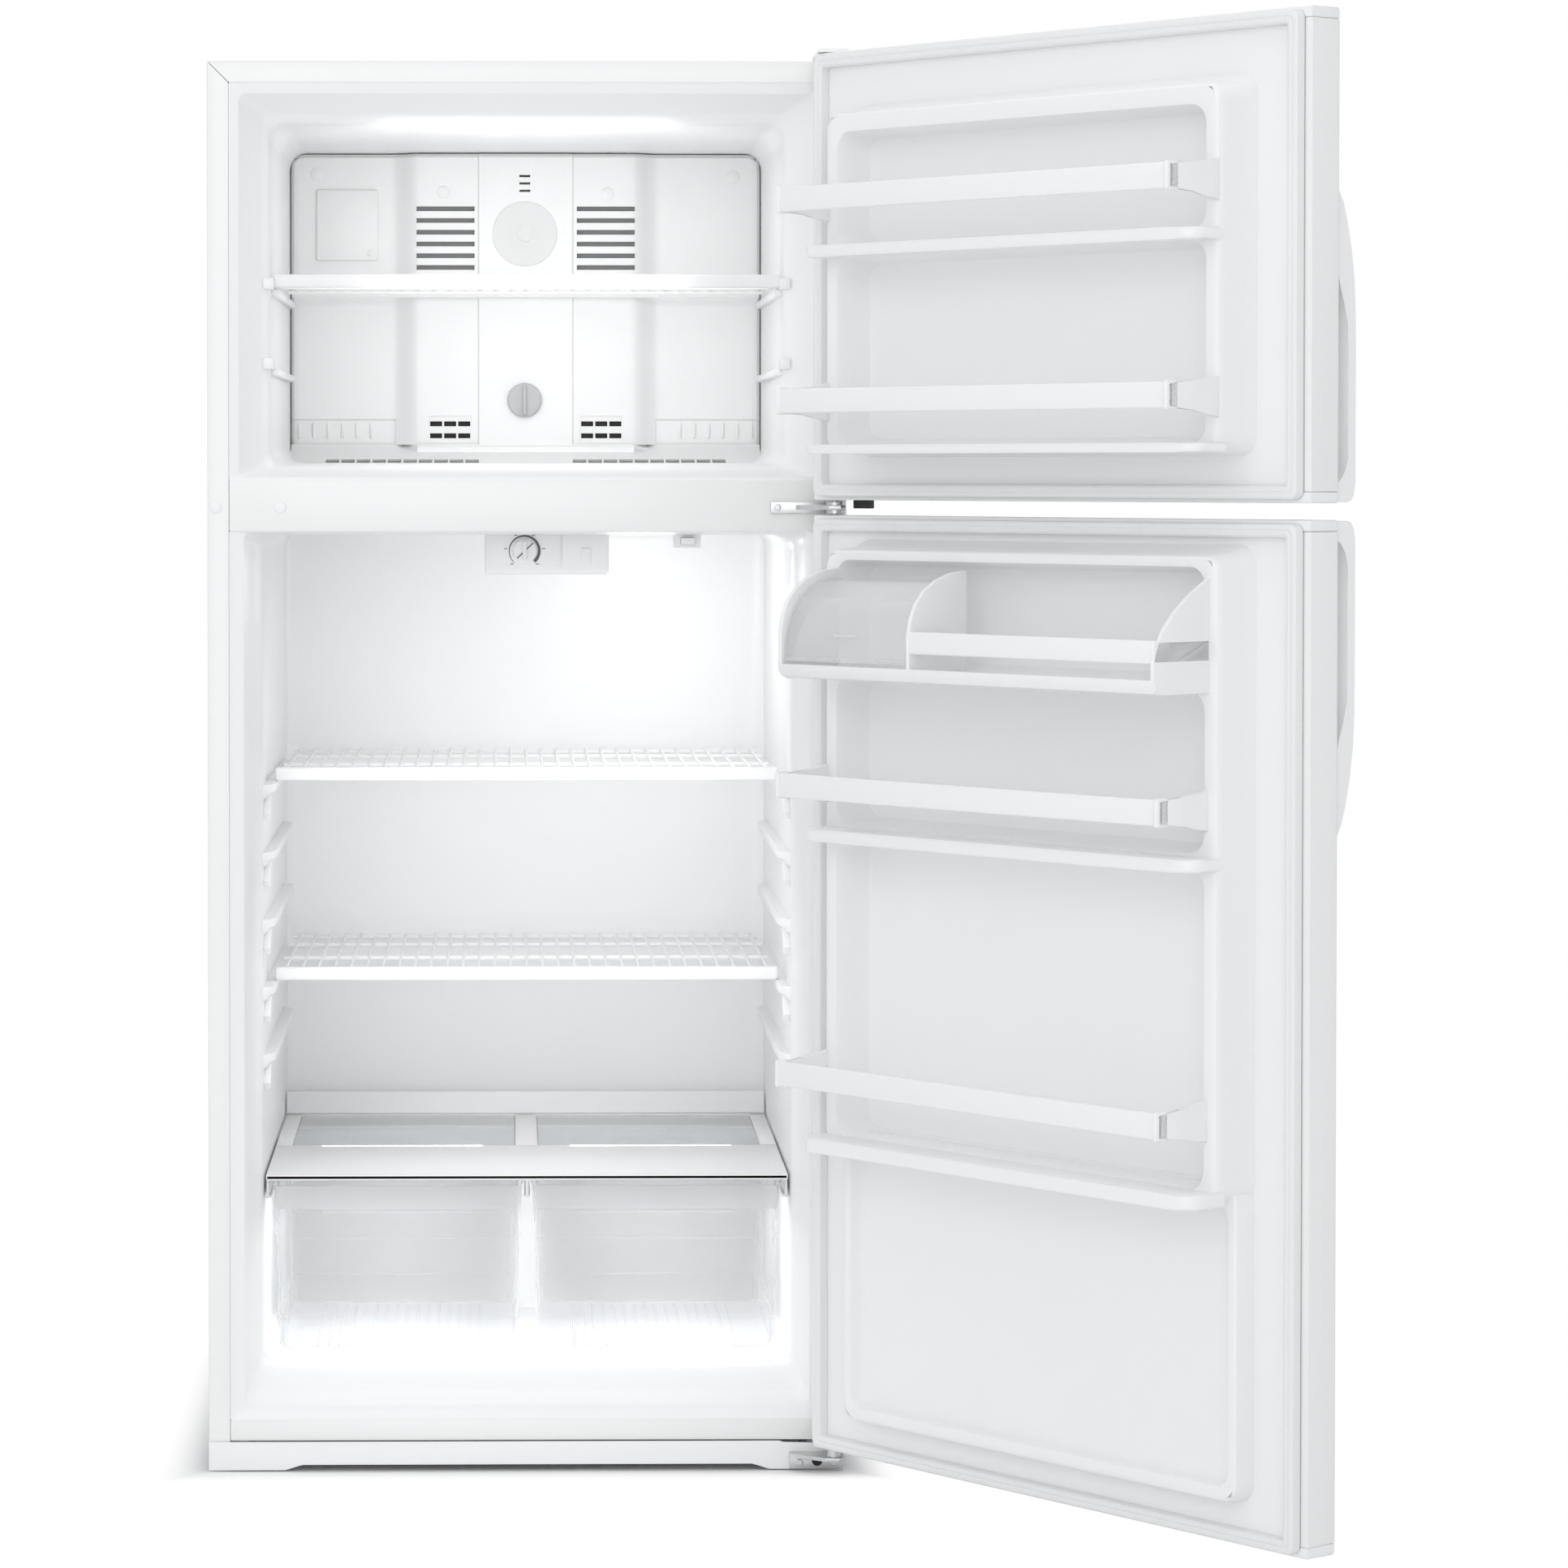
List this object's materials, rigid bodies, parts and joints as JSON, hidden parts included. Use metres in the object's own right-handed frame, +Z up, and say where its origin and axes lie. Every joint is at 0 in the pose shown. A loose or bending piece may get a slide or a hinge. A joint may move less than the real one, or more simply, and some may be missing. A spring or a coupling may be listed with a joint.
{
  "type": "top freezer refrigerator",
  "caption": "Free-standing two-door refrigerator with the freezer on top, wire shelves, crisper drawers, door shelves and a swinging door on each compartment.",
  "frame": {"origin": "on the floor, under the middle of the cabinet's front face", "axes": "+X to the user's right, +Y to the back, +Z up; the front faces -Y"},
  "size_m": [1.2584, 1.3221, 1.6824],
  "materials": {
    "white_paint": "satin white enamel",
    "foam": "rigid foam",
    "liner_plastic": "semi-gloss formed sheet",
    "white_trim": "satin moulded",
    "coated_wire": "plastic coated",
    "hinge_steel": "zinc plated",
    "clear_plastic": "clear moulded",
    "shelf_glass": "tempered glass",
    "knob_grey": "satin grey",
    "seal": "soft white vinyl",
    "black_plastic": "moulded",
    "galvanised": "galvanised",
    "aluminium": "mill finish",
    "black_paint": "black enamel",
    "copper": "drawn copper tube",
    "fibreboard": "pressed board"
  },
  "bodies": {
    "cabinet": {"access_cover": "liner_plastic", "base_pan": "galvanised", "bottom_hinge": "hinge_steel", "cabinet_foam": "foam", "cabinet_shell": "white_paint", "centre_hinge": "hinge_steel", "compressor": "black_paint", "condenser_coil": "black_paint", "control_housing": "liner_plastic", "cord_gland": "black_plastic", "crisper_cover": "liner_plastic", "crisper_glass": "shelf_glass", "cross_rails": "white_paint", "defrost_heater": "aluminium", "drain_pan": "black_plastic", "evaporator_coil": "aluminium", "evaporator_cover": "liner_plastic", "fan_motors": "galvanised", "freezer_liner": "liner_plastic", "fridge_liner": "liner_plastic", "hinge_screws": "hinge_steel", "hole_plugs": "white_trim", "lamp": "shelf_glass", "light_switch_body": "liner_plastic", "machine_cover": "fibreboard", "refrigerant_lines": "copper", "thermostat": "black_plastic", "toe_grille": "white_trim", "top_hinge": "hinge_steel", "top_hinge_cover": "white_trim"},
    "freezer_door": {"freezer_door_bars": "liner_plastic", "freezer_door_caps": "white_trim", "freezer_door_foam": "foam", "freezer_door_gasket": "seal", "freezer_door_handle": "white_trim", "freezer_door_liner": "liner_plastic", "freezer_door_panel": "white_paint"},
    "fridge_door": {"fridge_door_bars": "liner_plastic", "fridge_door_caps": "white_trim", "fridge_door_foam": "foam", "fridge_door_gasket": "seal", "fridge_door_handle": "white_trim", "fridge_door_liner": "liner_plastic", "fridge_door_panel": "white_paint", "dairy_tray": "liner_plastic"},
    "dairy_lid": {"dairy_lid": "clear_plastic"},
    "crisper_left": {"crisper_drawer_left": "clear_plastic"},
    "crisper_right": {"crisper_drawer_right": "clear_plastic"},
    "freezer_shelf": {"freezer_shelf": "coated_wire"},
    "upper_shelf": {"upper_shelf": "coated_wire"},
    "lower_shelf": {"lower_shelf": "coated_wire"},
    "freezer_knob": {"freezer_knob": "knob_grey"},
    "fridge_knob": {"fridge_knob": "knob_grey"},
    "light_switch": {"light_switch_plunger": "liner_plastic"},
    "evaporator_fan": {"evaporator_fan": "black_plastic"},
    "condenser_fan": {"condenser_fan": "black_plastic"},
    "left_roller": {"rear_roller_left": "black_plastic"},
    "right_roller": {"rear_roller_right": "black_plastic"},
    "left_leg": {"levelling_leg_left": "galvanised"},
    "right_leg": {"levelling_leg_right": "galvanised"}
  },
  "joints": [
    {"name": "freezer_door_hinge", "type": "hinge", "parent": "cabinet", "child": "freezer_door", "pos_m": [0.362, -0.033, 1.4], "axis": [0, 0, 1], "range_deg": [-130, 5]},
    {"name": "fridge_door_hinge", "type": "hinge", "parent": "cabinet", "child": "fridge_door", "pos_m": [0.362, -0.033, 0.6], "axis": [0, 0, 1], "range_deg": [-130, 5]},
    {"name": "dairy_lid_hinge", "type": "hinge", "parent": "fridge_door", "child": "dairy_lid", "pos_m": [0.47755, -0.27806, 1.064], "axis": [-0.6428, 0.766, 0], "range_deg": [0, 65]},
    {"name": "left_crisper_slide", "type": "slide", "parent": "cabinet", "child": "crisper_left", "axis": [0, -1, 0], "range_m": [0, 0.28]},
    {"name": "right_crisper_slide", "type": "slide", "parent": "cabinet", "child": "crisper_right", "axis": [0, -1, 0], "range_m": [0, 0.28]},
    {"name": "freezer_shelf_slide", "type": "slide", "parent": "cabinet", "child": "freezer_shelf", "axis": [0, -1, 0], "range_m": [0, 0.25]},
    {"name": "upper_shelf_slide", "type": "slide", "parent": "cabinet", "child": "upper_shelf", "axis": [0, -1, 0], "range_m": [0, 0.24]},
    {"name": "lower_shelf_slide", "type": "slide", "parent": "cabinet", "child": "lower_shelf", "axis": [0, -1, 0], "range_m": [0, 0.24]},
    {"name": "freezer_knob_turn", "type": "hinge", "parent": "cabinet", "child": "freezer_knob", "pos_m": [-0.0015, 0.5, 1.2785], "axis": [0, -1, 0], "range_deg": [-45, 45]},
    {"name": "fridge_knob_turn", "type": "hinge", "parent": "cabinet", "child": "fridge_knob", "pos_m": [-0.0025, 0.145, 1.09], "axis": [0, -1, 0], "range_deg": [-120, 120]},
    {"name": "light_switch_travel", "type": "slide", "parent": "cabinet", "child": "light_switch", "axis": [0, 1, 0], "range_m": [0, 0.008], "stiffness_N_per_m": 200},
    {"name": "evaporator_fan_spin", "type": "hinge", "parent": "cabinet", "child": "evaporator_fan", "pos_m": [0, 0.547, 1.498], "axis": [0, 1, 0], "continuous": true},
    {"name": "condenser_fan_spin", "type": "hinge", "parent": "cabinet", "child": "condenser_fan", "pos_m": [0.055, 0.575, 0.108], "axis": [1, 0, 0], "continuous": true},
    {"name": "left_roller_spin", "type": "hinge", "parent": "cabinet", "child": "left_roller", "pos_m": [-0.33, 0.605, 0.022], "axis": [1, 0, 0], "continuous": true},
    {"name": "right_roller_spin", "type": "hinge", "parent": "cabinet", "child": "right_roller", "pos_m": [0.33, 0.605, 0.022], "axis": [1, 0, 0], "continuous": true},
    {"name": "left_leg_turn", "type": "hinge", "parent": "cabinet", "child": "left_leg", "pos_m": [-0.33, 0.044, 0.02], "axis": [0, 0, 1], "continuous": true},
    {"name": "right_leg_turn", "type": "hinge", "parent": "cabinet", "child": "right_leg", "pos_m": [0.33, 0.044, 0.02], "axis": [0, 0, 1], "continuous": true}
  ]
}
